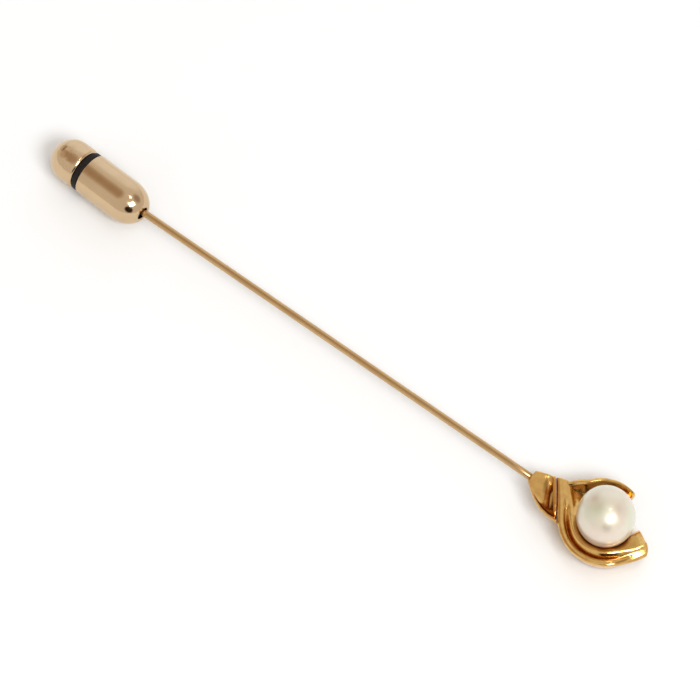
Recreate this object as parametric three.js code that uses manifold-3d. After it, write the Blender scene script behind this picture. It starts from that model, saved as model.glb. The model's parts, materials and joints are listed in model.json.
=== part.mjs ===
// Hat pin: a cast gold swirl holds a half-drilled pearl on a straight wire, and a spring-loaded
// ball clutch grips the point.
//
// Millimetres, +Z up. The origin is the middle of the head's flat back, under the pearl, and +X
// runs along the wire from the clutch to the head. The pin lies on the plane z = 0: the head on
// its back, the clutch on its side, and the wire level between them.

import * as THREE from 'three';
import { mergeVertices } from 'three/addons/utils/BufferGeometryUtils.js';
import Module from 'manifold-3d';

// ---- driving dimensions ---------------------------------------------------------------------

// Wire
const wireRadius = 0.4;
const exposedWire = 53.7; // from the head to the clutch's nose
const wireInClutch = 10.2; // from the clutch's nose to the point
const pointLength = 4.0; // the sharpened end
const pointTipRadius = 0.06;
const wireSocket = 1.2; // length soldered into the leaf
const solderGap = 0.02;
const wireOffset = -0.25; // the wire's line passes this far to the side of the pearl's axis

// Clutch casing
const clutchRadius = 2.45;
const clutchWall = 0.35;
const barrelStraight = 5.1;
const noseLength = 3.0; // the full half-ellipse, before its tip is cut flat
const noseLip = 0.35; // the flat lip round the nose hole
const noseHolePlay = 0.35; // round the wire
const capSkirt = 1.75;
const edgeBreak = 0.12; // the bevel of the casing's open edges
const cockedAngle = THREE.MathUtils.degToRad(2.6); // how far the clutch leans on the wire

// Clutch works
const ballRadius = 0.5;
const ballCount = 3;
const gripGap = 0.01; // between a ball and what it bears on
const seatAngle = THREE.MathUtils.degToRad(14); // half angle of the cone that the balls climb
const seatStart = 1.65; // from the nose to the cone's narrow end
const seatMouth = 4.6; // from the nose to its wide end
const seatLip = 0.25; // the cone's wall at its narrow end
const seatDepth = 0.5; // how much narrower the cone is at its narrow end than at the balls
const cageBorePlay = 0.26; // round the wire, which leans in it
const cageWall = 0.55;
const cageLead = 0.65; // cage ahead of the balls
const cageBevel = 0.1;
const flangeThickness = 0.25;
const flangePlay = 0.15;
const flangeInset = 0.2; // inside the barrel's bore
const pocketPlay = 0.04;
const collarLength = 0.6;
const fitGap = 0.03; // pressed and cemented pieces
const runningGap = 0.05; // pieces that slide or turn in one another
const springWireRadius = 0.12;
const springTurns = 4;
const washerThickness = 0.15;
const sealWidth = 0.7;
const sealInset = 0.08; // how far the black ring stands inside the casing
const discThickness = 0.35;

// Pearl and its seat
const pearlRadius = 3.2;
const pearlStretch = 1.055; // the pearl is slightly long, upright and across the swirl's mouth
const cupFloor = 1.05;
const cupInset = 0.5; // how far the cup's side stands inside the pearl's
const cupRim = 1.95; // height of the cup's edge
const cupBevel = 0.15;
const pearlPlay = 0.06; // between the pearl and the castings beside it
const postRadius = 0.4;
const postStart = 0.4; // gold left under the post
const postTaper = 0.15;
const drillDepth = 3.0;
const cementGap = 0.03;

// Swirl
const swirlTurn = THREE.MathUtils.degToRad(38.3); // from the wire's line to the swirl's mouth
const bandReach = 1.95; // from the pearl's side to the band's straight back edge
const rimHeight = 2.9;
const ridgeHeight = 3.05; // the inner ridge
const channelHeight = 2.5; // the hollow between rim and ridge
const crownHeight = 3.2; // the ribbon's broad top end
const seatDrop = 0.34; // how far under the pearl the inner slope ends
const armHeight = 3.65;
const armEdge = 2.6; // height of the arm's inner edge, beside the pearl
const armFoot = 0.5;
const tipChamfer = 1.5; // the slant polished on the arm's tip
const rollRadius = 0.2; // the thin roll between leaf and band
const leafRun = 5.754; // from the leaf's neck to the line of the band's back edge
const leafLength = 4.15; // over which it widens
const leafFlare = 2.95; // the leaf's spread to its low side
const leafShoulder = 1.55; // and to its straight side
const leafThickness = 0.75;
const castGap = 0.03; // between the castings that meet

// ---- derived --------------------------------------------------------------------------------

const wireHeight = clutchRadius;
const pearlUpright = pearlRadius * pearlStretch;
const pearlHeight = cupFloor + cementGap + pearlUpright;
const bandEdge = pearlRadius + bandReach;
const cupRadius = pearlRadius - cupInset;
const besideCup = castGap - cupInset; // as a distance beyond the pearl's side
const overCup = pearlHeight - pearlUpright * Math.sqrt(1 - (1 + besideCup / pearlRadius) ** 2);
const seatHeight = overCup - seatDrop;
const postHole = postRadius + castGap;
const ballPitch = wireRadius + ballRadius + 2 * gripGap;
const noseHole = wireRadius + noseHolePlay;
const lipRadius = noseHole + noseLip;
const noseTrim = noseLength * (1 - Math.sqrt(1 - (lipRadius / clutchRadius) ** 2));
const barrelLength = barrelStraight + noseLength - noseTrim;
const boreRadius = clutchRadius - clutchWall;
const cageBore = wireRadius + cageBorePlay;
const cageRadius = cageBore + cageWall;
const seatNarrow = ballPitch + ballRadius / Math.cos(seatAngle) - seatDepth;
const ballStation = seatStart + (seatDepth + gripGap) / Math.tan(seatAngle);
const cageStart = ballStation - cageLead;
const flangeStart = seatMouth + flangePlay;
const flangeRadius = boreRadius - flangeInset;
const collarStart = barrelLength - collarLength;
const sealStart = barrelLength + fitGap;
const discStart = sealStart + sealWidth + fitGap;
const wholeTurn = Math.PI * 2;

// The swirl stands turned from the wire's line, and the leaf's neck is where the wire enters it.
const neckX = -bandEdge * Math.cos(swirlTurn) - leafRun;
const noseX = neckX - exposedWire;

// ---- helpers --------------------------------------------------------------------------------

const roundSides = 24;
const colours = {
  wire: ['#c9a06a', 0.25, 1],
  casing: ['#e3c69b', 0.15, 1],
  swirl: ['#dca044', 0.2, 1],
  pearl: ['#efe3da', 0.25, 0],
  rubber: ['#17130f', 0.7, 0],
  steel: ['#b9bcc0', 0.3, 1],
  brass: ['#c8a355', 0.35, 1],
};

const wasm = await Module();
wasm.setup();

// Keep positions only, merge what meets, and turn the faces outwards.
function closed(geometry) {
  const bare = new THREE.BufferGeometry();
  bare.setAttribute('position', geometry.getAttribute('position').clone());
  if (geometry.index) bare.setIndex(geometry.index.clone());
  const merged = mergeVertices(bare, 1e-4);
  const index = merged.index.array;
  const kept = [];
  for (let i = 0; i < index.length; i += 3) {
    const [a, b, c] = [index[i], index[i + 1], index[i + 2]];
    if (a !== b && b !== c && c !== a) kept.push(a, b, c);
  }
  merged.setIndex(kept);
  return volume(merged) < 0 ? flipped(merged) : merged;
}

function volume(geometry) {
  const position = geometry.getAttribute('position');
  const index = geometry.index.array;
  const [a, b, c] = [new THREE.Vector3(), new THREE.Vector3(), new THREE.Vector3()];
  let sum = 0;
  for (let i = 0; i < index.length; i += 3) {
    a.fromBufferAttribute(position, index[i]);
    b.fromBufferAttribute(position, index[i + 1]);
    c.fromBufferAttribute(position, index[i + 2]);
    sum += a.dot(b.cross(c)) / 6;
  }
  return sum;
}

function flipped(geometry) {
  const index = Array.from(geometry.index.array);
  for (let i = 0; i < index.length; i += 3) {
    [index[i + 1], index[i + 2]] = [index[i + 2], index[i + 1]];
  }
  geometry.setIndex(index);
  return geometry;
}

function toManifold(geometry) {
  return new wasm.Manifold(new wasm.Mesh({
    numProp: 3,
    vertProperties: Float32Array.from(geometry.getAttribute('position').array),
    triVerts: Uint32Array.from(geometry.index.array),
  }));
}

// The body less the tools. A crumb that a tool cuts off is dropped.
function cut(geometry, ...tools) {
  let body = toManifold(closed(geometry));
  for (const tool of tools) body = body.subtract(toManifold(closed(tool)));
  const [largest] = body.decompose().sort((a, b) => b.volume() - a.volume());
  const mesh = largest.getMesh();
  const result = new THREE.BufferGeometry();
  result.setAttribute('position', new THREE.BufferAttribute(mesh.vertProperties, 3));
  result.setIndex(Array.from(mesh.triVerts));
  return result;
}

// A turned piece: the outline is [distance along +X, radius] pairs.
function turned(outline, sides = roundSides) {
  const points = outline.map(([x, r]) => new THREE.Vector2(r, x));
  return new THREE.LatheGeometry(points, sides).rotateZ(-Math.PI / 2);
}

// A turned piece that stands upright: the outline is [radius, height] pairs.
function turnedUpright(outline, sides = roundSides) {
  const points = outline.map(([r, z]) => new THREE.Vector2(r, z));
  return new THREE.LatheGeometry(points, sides).rotateX(Math.PI / 2);
}

function hollow(outline) {
  return [...outline, outline[0]];
}

function tube(start, end, inner, outer) {
  return turned(hollow([[start, inner], [start, outer], [end, outer], [end, inner]]));
}

function roundBar(curve, radius, steps, sides = 10) {
  const rim = [];
  for (let i = 0; i < sides; i++) {
    const a = (i / sides) * wholeTurn;
    rim.push(new THREE.Vector2(radius * Math.cos(a), radius * Math.sin(a)));
  }
  const options = { steps, extrudePath: curve, bevelEnabled: false };
  return new THREE.ExtrudeGeometry(new THREE.Shape(rim), options);
}

// Join like rings of points into one body. The flat outline says how each end is filled.
function loft(rings, flatOutline) {
  const count = flatOutline.length;
  const positions = rings.flat().flatMap((p) => [p.x, p.y, p.z]);
  const index = [];
  for (let r = 0; r + 1 < rings.length; r++) {
    for (let i = 0; i < count; i++) {
      const j = (i + 1) % count;
      const [here, next] = [r * count, (r + 1) * count];
      index.push(here + i, here + j, next + j, here + i, next + j, next + i);
    }
  }
  const last = (rings.length - 1) * count;
  const flat = flatOutline.map(([x, y]) => new THREE.Vector2(x, y));
  const clockwise = THREE.ShapeUtils.isClockWise(flat);
  for (const face of THREE.ShapeUtils.triangulateShape(flat, [])) {
    const [a, b, c] = clockwise ? face.toReversed() : face;
    index.push(a, c, b);
    index.push(last + a, last + b, last + c);
  }
  const geometry = new THREE.BufferGeometry();
  geometry.setAttribute('position', new THREE.Float32BufferAttribute(positions, 3));
  geometry.setIndex(index);
  return geometry;
}

function box(low, high) {
  const size = high.map((v, i) => v - low[i]);
  const middle = high.map((v, i) => (v + low[i]) / 2);
  return new THREE.BoxGeometry(...size).translate(...middle);
}

function piece(name, geometry, finish) {
  const [color, roughness, metalness] = colours[finish];
  const material = new THREE.MeshStandardMaterial({ color, roughness, metalness });
  const mesh = new THREE.Mesh(closed(geometry), material);
  mesh.name = name;
  return mesh;
}

// ---- wire -----------------------------------------------------------------------------------

function stemWire() {
  const point = noseX - wireInClutch;
  const shoulder = point + pointLength;
  return turned([
    [point, 0],
    [point, pointTipRadius],
    [point + pointLength * 0.3, wireRadius * 0.52],
    [point + pointLength * 0.65, wireRadius * 0.86],
    [shoulder, wireRadius],
    [neckX + wireSocket, wireRadius],
    [neckX + wireSocket, 0],
  ], 16);
}

// ---- head, in the swirl's own frame: +X out of its mouth, the pearl's axis at the middle ------

// Guide lines round the pearl: [degrees round from the mouth, distance beyond the pearl's side].
const bandOuter = [
  [131.8, 4.52], [140.6, 3.46], [153.3, 2.56], [170.1, 2.02], [191.5, 1.8], [214.8, 1.79],
  [238.8, 1.82], [259.8, 1.85], [280.3, 1.82], [300, 1.85], [320.9, 2.42],
];
const bandInner = [
  [112, 1.9], [119, 0.75], [133, -0.25], [158, besideCup], [184, besideCup], [208, besideCup],
  [232, besideCup], [260, besideCup], [292, besideCup], [332, besideCup], [358, 0.4],
];
const armOuter = [
  [129.4, 3.27], [112, 2.34], [96.5, 2.13], [83.4, 2.03], [70.5, 1.89], [57.9, 1.7], [45.5, 1.54],
];
const armInner = [
  [137, 1.75], [114, 0.5], [96.1, 0.42], [82.5, 0.4], [69.5, 0.38], [56.9, 0.36], [44.5, 0.42],
];

// The band's section: [share of the way from outer to inner guide, height], from its foot up
// the outside, over rim, channel and ridge, and down the inner slope. Start, middle and tip.
const bandStart = [
  [0.22, 0], [0.13, 0.7], [0.03, 1.6], [0, crownHeight - 0.5], [0.02, crownHeight - 0.12],
  [0.18, crownHeight], [0.31, crownHeight - 0.06], [0.37, crownHeight - 0.12],
  [0.43, crownHeight - 0.22], [0.49, crownHeight - 0.38], [0.55, crownHeight - 0.65],
  [0.6, seatHeight + 0.1], [0.66, seatHeight], [1, seatHeight - 0.35], [1, 0],
];
const bandMiddle = [
  [0.5, 0], [0.34, 0.6], [0.19, 1.4], [0, rimHeight - 0.4], [0.04, rimHeight - 0.05],
  [0.16, rimHeight], [0.28, rimHeight - 0.1], [0.35, channelHeight - 0.05], [0.42, channelHeight],
  [0.51, channelHeight + 0.32], [0.6, ridgeHeight - 0.03], [0.7, ridgeHeight - 0.02],
  [0.84, seatHeight + 0.35], [1, seatHeight], [1, 0],
];
const bandTip = [
  [0.36, 0.5], [0.2, 0.9], [0.08, 1.4], [0, rimHeight - 1.0], [0.025, rimHeight - 0.82],
  [0.08, rimHeight - 0.74], [0.15, rimHeight - 0.6], [0.22, rimHeight - 0.42],
  [0.28, rimHeight - 0.24], [0.33, rimHeight - 0.1], [0.38, rimHeight + 0.04],
  [0.45, rimHeight + 0.02], [0.74, seatHeight + 0.2], [1, seatHeight - 0.25], [1, 0.9],
];

function guide(list, margin = 0) {
  return new THREE.CatmullRomCurve3(list.map(([degrees, beyond]) => {
    const a = THREE.MathUtils.degToRad(degrees);
    const r = pearlRadius + beyond + margin;
    return new THREE.Vector3(r * Math.cos(a), r * Math.sin(a), 0);
  }));
}

function mixOutlines(from, to, share) {
  return from.map(([w, z], i) => [w + (to[i][0] - w) * share, z + (to[i][1] - z) * share]);
}

function sweep(outer, inner, sectionAt, steps, first = 0) {
  const rings = [];
  for (let i = 0; i <= steps; i++) {
    const t = first + (1 - first) * (i / steps);
    const [from, to] = [outer.getPoint(t), inner.getPoint(t)];
    rings.push(sectionAt(t).map(([w, z]) => from.clone().lerp(to, w).setZ(z)));
  }
  return loft(rings, sectionAt(0.5));
}

function swirlBand() {
  const sectionAt = (t) => {
    const run = mixOutlines(bandStart, bandMiddle, THREE.MathUtils.smoothstep(t, 0.08, 0.42));
    return mixOutlines(run, bandTip, THREE.MathUtils.smoothstep(t, 0.76, 0.94));
  };
  const body = sweep(guide(bandOuter), guide(bandInner), sectionAt, 30);
  return cut(body, cupRoom(), pearlRoom(), armBody(castGap));
}

// The arm, or with a margin the room that it takes in the band, which starts a little before it.
function armBody(margin) {
  const { smoothstep } = THREE.MathUtils;
  const top = armHeight + margin;
  const sectionAt = (t) => {
    const foot = armFoot + (armEdge - 0.8 - armFoot) * smoothstep(t, 0, 0.9) - margin;
    const chamfer = tipChamfer * smoothstep(t, 0.84, 1);
    const edge = armEdge + 0.6 * smoothstep(t, 0.5, 0.8) - 0.6 * chamfer + margin;
    return [
      [0.1, foot], [0, foot + 0.5], [0, top - 0.45], [0.08, top - 0.08], [0.22, top],
      [0.34, top - 0.14 - 0.1 * chamfer], [0.46, top - 0.45 - 0.25 * chamfer],
      [0.75, edge + 0.35], [1, edge], [1, foot + 0.1], [0.9, foot],
    ];
  };
  const first = margin > 0 ? 0 : 0.02;
  return sweep(guide(armOuter, margin), guide(armInner, -margin), sectionAt, 16, first);
}

function upperArm() {
  return cut(armBody(0), pearlRoom());
}

function cupRoom() {
  const [side, top] = [cupRadius + castGap, cupRim + pearlRadius / 3];
  return turnedUpright([[0, -castGap], [side, -castGap], [side, top], [0, top]], 32);
}

function pearlRoom() {
  const room = 1 + pearlPlay / pearlRadius;
  return new THREE.SphereGeometry(pearlRadius, 32, 20)
    .scale(room, room * pearlStretch, room * pearlStretch).translate(0, 0, pearlHeight);
}

// The roll lies over the groove between leaf and band, down both sides of the head. With a
// margin it runs on that far at both ends.
function rollLine(margin = 0) {
  const x = -bandEdge - castGap - rollRadius;
  const top = crownHeight - 0.1;
  return new THREE.CatmullRomCurve3([
    [x, bandEdge + 0.6 + margin, top - 0.7 - margin], [x, bandEdge + 0.2, top - 0.05],
    [x, 0.8 * bandEdge, top + 0.05], [x, pearlRadius, top], [x, 0.5 * pearlRadius, top - 0.35],
    [x, 0.21 * pearlRadius - margin, top - 1.25 - margin],
  ].map((p) => new THREE.Vector3(...p)));
}

function twistRoll() {
  return roundBar(rollLine(), rollRadius, 18);
}

// The leaf widens from the wire, hollow above, and ends against the band, under the roll.
function leaf() {
  const stations = [
    // [share of the length, low side, straight side, rise of the two edges over the hollow]
    [-0.05, 0.2, 0.42, 0], [0.12, 0.38, 0.66, 0.05], [0.3, 0.58, 0.86, 0.2], [0.55, 0.8, 1.0, 0.4],
    [0.78, 0.94, 1.0, 0.5], [1.0, 1.0, 1.0, 0.5], [1.3, 1.0, 1.0, 0.4], [2.0, 0.9, 1.0, 0.3],
  ];
  const outline = [
    [-1, 0.35], [-0.8, 0.75], [-0.45, 0.95], [0, 1.0], [0.5, 0.95], [0.85, 0.75], [1, 0.35],
    [0.85, -0.55], [0.4, -0.95], [-0.2, -1], [-0.7, -0.7],
  ];
  const rings = stations.map(([share, low, straight, rise]) => outline.map(([across, up]) => {
    const y = across < 0 ? across * low * leafFlare : across * straight * leafShoulder;
    const dish = up > 0.5 ? rise * (1 - across * across) : 0;
    const z = wireHeight + up * leafThickness - dish;
    return new THREE.Vector3(neckX + share * leafLength, wireOffset + y, z);
  }));
  const [socketRadius, socketEnd] = [wireRadius + solderGap, neckX + wireSocket + solderGap];
  const socket = turned([
    [neckX - wireSocket, 0], [neckX - wireSocket, socketRadius], [socketEnd, socketRadius], [socketEnd, 0],
  ], 16).translate(0, wireOffset, wireHeight);
  const beyond = 4 * bandEdge;
  const behindBand = box([-bandEdge - castGap, -beyond, -beyond], [beyond, beyond, beyond])
    .rotateZ(swirlTurn);
  const rollRoom = roundBar(rollLine(2 * castGap), rollRadius + castGap, 18).rotateZ(swirlTurn);
  return cut(loft(rings, outline), socket, behindBand, rollRoom);
}

function pearlCup() {
  const dish = [];
  const reach = pearlUpright + cementGap;
  const rimAngle = Math.acos((pearlHeight - cupRim) / reach);
  for (let i = 0; i <= 8; i++) {
    const a = rimAngle * (1 - i / 8);
    dish.push([reach * Math.sin(a), pearlHeight - reach * Math.cos(a)]);
  }
  const inDish = dish.filter(([r]) => r > postHole + postTaper);
  return turnedUpright([
    [0, 0], [cupRadius - cupBevel, 0], [cupRadius, cupBevel], [cupRadius, cupRim], ...inDish,
    [postHole, cupFloor], [postHole, postStart], [0, postStart],
  ], 32);
}

function pearlPost() {
  const [foot, top] = [postStart + castGap, cupFloor + drillDepth - cementGap];
  return turnedUpright([
    [0, foot], [postRadius, foot], [postRadius, top - postTaper], [postRadius - postTaper, top], [0, top],
  ], 12);
}

function pearl() {
  const half = [];
  const start = Math.asin(postHole / pearlRadius);
  for (let i = 0; i <= 18; i++) {
    const a = start + (Math.PI - start) * (i / 18);
    half.push([pearlRadius * Math.sin(a), -pearlRadius * Math.cos(a)]);
  }
  half[18] = [0, pearlRadius];
  const drillTop = (cupFloor + drillDepth - pearlHeight) / pearlStretch;
  const outline = [[0, drillTop], [postHole, drillTop], ...half];
  return turnedUpright(outline, 32).scale(1, pearlStretch, pearlStretch);
}

// ---- clutch, in its own frame: the nose at x = 0, +X to the cap, the axis at y = z = 0 --------

function barrelShell() {
  const nose = [];
  const first = Math.acos(1 - noseTrim / noseLength);
  for (let i = 0; i <= 8; i++) {
    const a = first + (Math.PI / 2 - first) * (i / 8);
    nose.push([noseLength * (1 - Math.cos(a)) - noseTrim, clutchRadius * Math.sin(a)]);
  }
  const cone = noseLength - noseTrim;
  return turned(hollow([
    [0, noseHole], ...nose,
    [barrelLength - edgeBreak, clutchRadius], [barrelLength, clutchRadius - edgeBreak],
    [barrelLength, boreRadius], [cone - clutchWall, boreRadius],
    [cone * 0.42, clutchRadius * 0.63], [clutchWall + edgeBreak, lipRadius], [clutchWall, noseHole],
  ]));
}

function taperRing() {
  const mouthRadius = seatNarrow + (seatMouth - seatStart) * Math.tan(seatAngle);
  const outer = boreRadius - fitGap;
  const cone = noseLength - noseTrim;
  return turned(hollow([
    [seatStart, seatNarrow], [seatStart, seatNarrow + seatLip], [cone - seatLip, outer],
    [seatMouth, outer], [seatMouth, mouthRadius],
  ]));
}

function cage() {
  const body = turned(hollow([
    [cageStart, cageBore], [cageStart, cageRadius - cageBevel], [cageStart + cageBevel, cageRadius],
    [flangeStart, cageRadius], [flangeStart, flangeRadius],
    [flangeStart + flangeThickness, flangeRadius], [flangeStart + flangeThickness, cageRadius],
    [discStart + discThickness, cageRadius], [discStart + discThickness, cageBore],
  ]));
  const pockets = [];
  const radius = ballRadius + pocketPlay;
  for (let i = 0; i < ballCount; i++) {
    const drill = new THREE.CylinderGeometry(radius, radius, cageRadius * 2, 14).translate(0, cageRadius, 0);
    const a = Math.PI / 2 + (i / ballCount) * wholeTurn;
    pockets.push(drill.rotateX(a).translate(ballStation, 0, 0));
  }
  return cut(body, ...pockets);
}

function gripBall(i) {
  const mesh = piece(`grip_ball_${i + 1}`, new THREE.SphereGeometry(ballRadius, 14, 10), 'steel');
  const a = (i / ballCount) * wholeTurn;
  mesh.position.set(ballStation, -ballPitch * Math.sin(a), ballPitch * Math.cos(a));
  mesh.rotation.x = a;
  return mesh;
}

class Helix extends THREE.Curve {
  constructor(start, end, radius, turns) {
    super();
    Object.assign(this, { start, end, radius, turns });
  }

  getPoint(t, target = new THREE.Vector3()) {
    const a = t * this.turns * wholeTurn;
    const along = this.start + (this.end - this.start) * t;
    return target.set(along, this.radius * Math.cos(a), this.radius * Math.sin(a));
  }
}

function spring() {
  const start = flangeStart + flangeThickness + runningGap + springWireRadius;
  const end = collarStart - washerThickness - 2 * runningGap - springWireRadius;
  const radius = (flangeRadius + cageRadius) / 2;
  return roundBar(new Helix(start, end, radius, springTurns), springWireRadius, 72, 6);
}

function capShell() {
  const length = capSkirt + clutchRadius;
  const start = discStart;
  const dome = [];
  for (let i = 0; i <= 10; i++) {
    const a = (Math.PI / 2) * (i / 10);
    dome.push([start + capSkirt + clutchRadius * Math.sin(a), clutchRadius * Math.cos(a)]);
  }
  dome[10] = [start + length, 0];
  const inside = [];
  for (let i = 0; i <= 6; i++) {
    const a = (Math.PI / 2) * (1 - i / 6);
    inside.push([start + capSkirt + boreRadius * Math.sin(a), boreRadius * Math.cos(a)]);
  }
  inside[0] = [start + capSkirt + boreRadius, 0];
  return turned([
    ...dome.reverse(), [start + edgeBreak, clutchRadius], [start, clutchRadius - edgeBreak],
    [start, boreRadius], ...inside.reverse(),
  ]);
}

function sealRing() {
  const radius = clutchRadius - sealInset;
  const inner = cageRadius + runningGap;
  const end = sealStart + sealWidth;
  return turned(hollow([
    [sealStart, inner], [sealStart, radius - edgeBreak], [sealStart + edgeBreak, radius],
    [end - edgeBreak, radius], [end, radius - edgeBreak], [end, inner],
  ]));
}

// ---- assembly -------------------------------------------------------------------------------

const hatPin = new THREE.Group();

const wire = piece('stem_wire', stemWire(), 'wire');
wire.position.set(0, wireOffset, wireHeight);
hatPin.add(wire, piece('leaf', leaf(), 'swirl'));

const swirl = new THREE.Group();
swirl.rotation.z = swirlTurn;
swirl.add(
  piece('twist_roll', twistRoll(), 'swirl'),
  piece('swirl_band', swirlBand(), 'swirl'),
  piece('upper_arm', upperArm(), 'swirl'),
  piece('pearl_cup', pearlCup(), 'swirl'),
  piece('pearl_post', pearlPost(), 'swirl'),
);
const pearlMesh = piece('pearl', pearl(), 'pearl');
pearlMesh.position.z = pearlHeight;
swirl.add(pearlMesh);
hatPin.add(swirl);

const collarBore = cageRadius + runningGap;
const collarRadius = boreRadius - fitGap;
const discEnd = discStart + discThickness;
const washerEnd = collarStart - runningGap;
const washerStart = washerEnd - washerThickness;
const works = new THREE.Group();
works.add(
  piece('barrel_shell', barrelShell(), 'casing'),
  piece('taper_ring', taperRing(), 'brass'),
  piece('cage', cage(), 'brass'),
  piece('spring', spring(), 'steel'),
  piece('spring_washer', tube(washerStart, washerEnd, collarBore, flangeRadius), 'steel'),
  piece('rear_collar', tube(collarStart, barrelLength, collarBore, collarRadius), 'brass'),
  piece('seal_ring', sealRing(), 'rubber'),
  piece('cap_disc', tube(discStart, discEnd, cageRadius + fitGap, collarRadius), 'brass'),
  piece('cap_shell', capShell(), 'casing'),
);
for (let i = 0; i < ballCount; i++) works.add(gripBall(i));

// The clutch leans about the balls, where it holds the wire.
const lean = new THREE.Group();
lean.position.set(noseX - ballStation, wireOffset, wireHeight);
lean.rotation.z = Math.PI - cockedAngle;
works.position.x = -ballStation;
lean.add(works);
hatPin.add(lean);

export default hatPin;
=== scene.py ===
import json
import math

import bmesh
import bpy
from mathutils import Matrix, Vector


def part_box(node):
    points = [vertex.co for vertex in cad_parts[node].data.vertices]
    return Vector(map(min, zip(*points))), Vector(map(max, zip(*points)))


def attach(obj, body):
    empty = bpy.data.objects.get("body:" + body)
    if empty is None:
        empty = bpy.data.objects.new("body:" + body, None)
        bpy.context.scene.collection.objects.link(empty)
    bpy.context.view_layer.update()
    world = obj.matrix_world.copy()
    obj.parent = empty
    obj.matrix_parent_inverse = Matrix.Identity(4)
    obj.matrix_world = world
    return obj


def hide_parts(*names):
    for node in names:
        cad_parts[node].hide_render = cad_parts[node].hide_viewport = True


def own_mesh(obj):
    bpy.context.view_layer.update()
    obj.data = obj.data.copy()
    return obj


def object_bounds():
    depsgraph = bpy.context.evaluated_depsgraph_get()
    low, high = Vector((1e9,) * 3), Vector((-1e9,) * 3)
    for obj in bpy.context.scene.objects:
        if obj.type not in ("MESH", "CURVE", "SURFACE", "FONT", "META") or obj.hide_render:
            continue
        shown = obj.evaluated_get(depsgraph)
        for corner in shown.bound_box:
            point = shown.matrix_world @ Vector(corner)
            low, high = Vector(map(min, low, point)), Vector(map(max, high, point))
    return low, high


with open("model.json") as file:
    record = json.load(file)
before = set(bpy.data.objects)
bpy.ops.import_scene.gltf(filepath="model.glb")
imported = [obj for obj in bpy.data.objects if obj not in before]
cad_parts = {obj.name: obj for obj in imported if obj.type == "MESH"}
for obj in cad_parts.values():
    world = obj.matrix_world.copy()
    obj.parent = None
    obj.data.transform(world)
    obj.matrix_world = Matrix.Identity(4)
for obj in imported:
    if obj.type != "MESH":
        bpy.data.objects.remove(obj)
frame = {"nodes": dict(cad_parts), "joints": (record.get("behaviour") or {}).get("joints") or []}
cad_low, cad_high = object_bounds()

# ---- stem wire ------------------------------------------------------------------------------
# The stem is a straight length of drawn gold wire. Its far end is ground to a long point that
# goes through the cloth, and its near end is soldered into the leaf of the head.

MM = 0.001

ground_length = 4.0 * MM
point_radius = 0.06 * MM
wire_gold = (0.60, 0.40, 0.19)
noise_low, noise_high = 0.35, 0.65

wire_low, wire_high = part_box("stem_wire")
wire_radius = (wire_high.z - wire_low.z) / 2
wire_line = Matrix.Translation((0, (wire_low.y + wire_high.y) / 2, (wire_low.z + wire_high.z) / 2))


def made_of(name, bm, place):
    """The finished mesh as a smooth object that stands at place."""
    bmesh.ops.recalc_face_normals(bm, faces=bm.faces)
    for face in bm.faces:
        face.smooth = True
    mesh = bpy.data.meshes.new(name)
    bm.to_mesh(mesh)
    bm.free()
    piece = bpy.data.objects.new(name, mesh)
    bpy.context.scene.collection.objects.link(piece)
    piece.matrix_world = place
    return piece


def turned_on_lathe(name, outline, place, ring=False, sides=96):
    """Turns an outline of (along the axis, radius) points round its X axis. A ring closes on itself."""
    bm = bmesh.new()
    rows = []
    for along, radius in outline:
        around = [math.tau * k / sides for k in range(sides if radius > 1e-9 else 1)]
        rows.append([bm.verts.new((along, radius * math.cos(a), radius * math.sin(a))) for a in around])
    pairs = list(zip(rows, rows[1:]))
    if ring:
        pairs.append((rows[-1], rows[0]))
    for low, high in pairs:
        for k in range(sides):
            j = (k + 1) % sides
            corners = [low[k % len(low)], low[j % len(low)], high[j % len(high)], high[k % len(high)]]
            corners = list(dict.fromkeys(corners))
            if len(corners) > 2:
                bm.faces.new(corners)
    return made_of(name, bm, place)


def wire_outline():
    """The rounded point, the ground taper and the straight wire behind it."""
    points = [(wire_low.x, 0)]
    for k in range(7):
        a = math.pi / 2 * k / 6
        points.append((wire_low.x + point_radius * (1 - math.cos(a)), point_radius * math.sin(a)))
    for k in range(1, 25):
        share = k / 24
        along = wire_low.x + point_radius + (ground_length - point_radius) * share
        points.append((along, point_radius + (wire_radius - point_radius) * (1 - (1 - share) ** 2)))
    straight = wire_high.x - points[-1][0]
    for k in range(1, 17):
        points.append((wire_low.x + ground_length + straight * k / 16, wire_radius))
    points.append((wire_high.x, 0))
    return points


def new_finish(name, colour, metallic, roughness):
    """A node material with its even values set on the shader."""
    finish = bpy.data.materials.new(name)
    finish.use_nodes = True
    shader = finish.node_tree.nodes["Principled BSDF"]
    shader.inputs["Base Color"].default_value = (*colour, 1)
    shader.inputs["Metallic"].default_value = metallic
    shader.inputs["Roughness"].default_value = roughness
    return finish, finish.node_tree, shader


def grain(tree, scale, detail=3.0, roughness=0.5):
    """Cloudy noise in the piece's own space; scale is the grains to a millimetre, each way."""
    place = tree.nodes.new("ShaderNodeTexCoord")
    stretch = tree.nodes.new("ShaderNodeMapping")
    stretch.inputs["Scale"].default_value = [s / MM for s in scale]
    cloud = tree.nodes.new("ShaderNodeTexNoise")
    cloud.inputs["Scale"].default_value = 1
    cloud.inputs["Detail"].default_value = detail
    cloud.inputs["Roughness"].default_value = roughness
    tree.links.new(place.outputs["Object"], stretch.inputs["Vector"])
    tree.links.new(stretch.outputs["Vector"], cloud.inputs["Vector"])
    return cloud.outputs["Fac"]


def between(tree, share, low, high):
    """A number that goes from low to high over the middle of the noise's range."""
    span = tree.nodes.new("ShaderNodeMapRange")
    span.inputs["From Min"].default_value = noise_low
    span.inputs["From Max"].default_value = noise_high
    span.inputs["To Min"].default_value = low
    span.inputs["To Max"].default_value = high
    tree.links.new(share, span.inputs["Value"])
    return span.outputs["Result"]


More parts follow.
